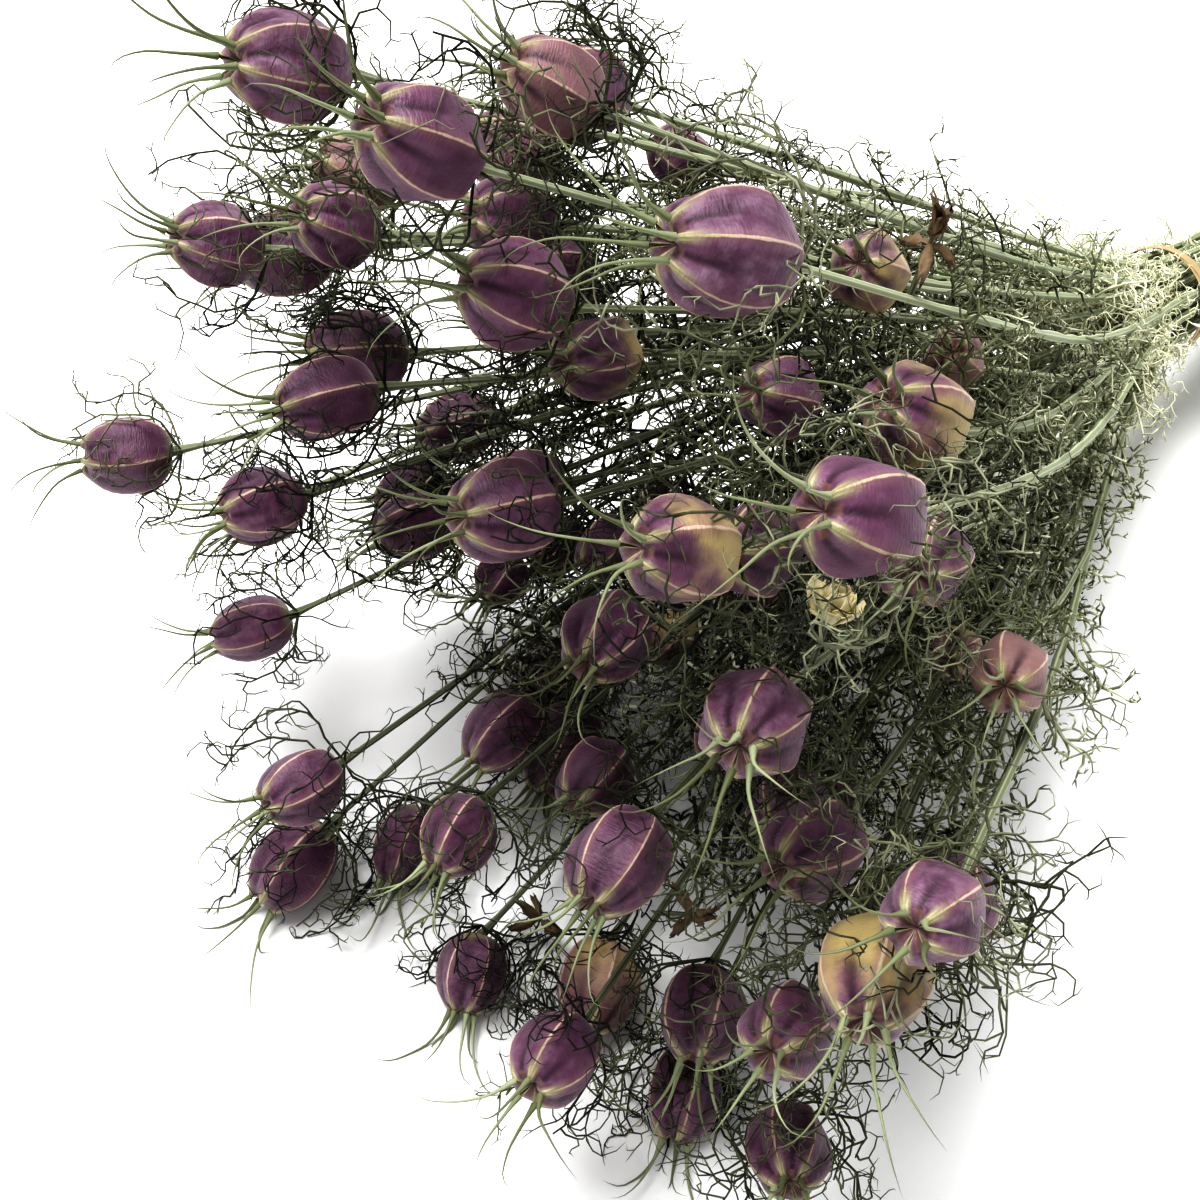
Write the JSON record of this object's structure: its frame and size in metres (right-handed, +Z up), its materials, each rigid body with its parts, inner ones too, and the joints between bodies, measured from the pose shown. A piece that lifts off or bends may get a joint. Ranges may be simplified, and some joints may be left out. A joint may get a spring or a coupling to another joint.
{
  "type": "dried nigella seed pod bunch",
  "caption": "Tied bunch of dried love-in-a-mist seed pods, lying down: ribbed, horned pods in ruffs of forked threads, on stems that fan out from a straw band at the neck.",
  "frame": {"origin": "middle of the bunch's box in X and Y, on the surface that the bunch lies on", "axes": "+Z up; +Y along the bunch, its longest way, from the pods to the cut ends; +X across it"},
  "size_m": [0.3272, 0.575, 0.3154],
  "materials": {
    "seed_pod": "matte dry skin, plum with a lilac bloom and pale seams",
    "stem_green": "matte, pale sage with whitish ribs",
    "thread_green": "matte dry threads, sage to dark grey-green",
    "dried_petal": "matte, crumpled, cream to brown",
    "tie_straw": "matte, cream straw strip"
  },
  "bodies": {
    "root": {"stem_01": "seed_pod", "stem_02": "seed_pod", "stem_03": "seed_pod", "stem_04": "seed_pod", "stem_05": "seed_pod", "stem_06": "seed_pod", "stem_07": "seed_pod", "stem_08": "seed_pod", "stem_09": "seed_pod", "stem_10": "seed_pod", "stem_11": "seed_pod", "stem_12": "seed_pod", "stem_13": "seed_pod", "stem_14": "seed_pod", "stem_15": "seed_pod", "stem_16": "seed_pod", "stem_17": "seed_pod", "stem_18": "seed_pod", "stem_19": "seed_pod", "stem_20": "seed_pod", "stem_21": "seed_pod", "stem_22": "seed_pod", "stem_23": "seed_pod", "stem_24": "seed_pod", "stem_25": "seed_pod", "stem_26": "seed_pod", "stem_27": "seed_pod", "stem_28": "seed_pod", "stem_29": "seed_pod", "stem_30": "seed_pod", "stem_31": "seed_pod", "stem_32": "seed_pod", "stem_33": "seed_pod", "stem_34": "seed_pod", "stem_35": "seed_pod", "stem_36": "seed_pod", "stem_37": "seed_pod", "stem_38": "seed_pod", "stem_39": "seed_pod", "stem_40": "seed_pod", "stem_41": "seed_pod", "stem_42": "seed_pod", "stem_43": "seed_pod", "stem_44": "seed_pod", "stem_45": "seed_pod", "stem_46": "seed_pod", "stem_47": "seed_pod", "stem_48": "seed_pod", "stem_49": "seed_pod", "stem_50": "seed_pod", "stem_51": "seed_pod", "tie": "tie_straw"}
  },
  "joints": []
}
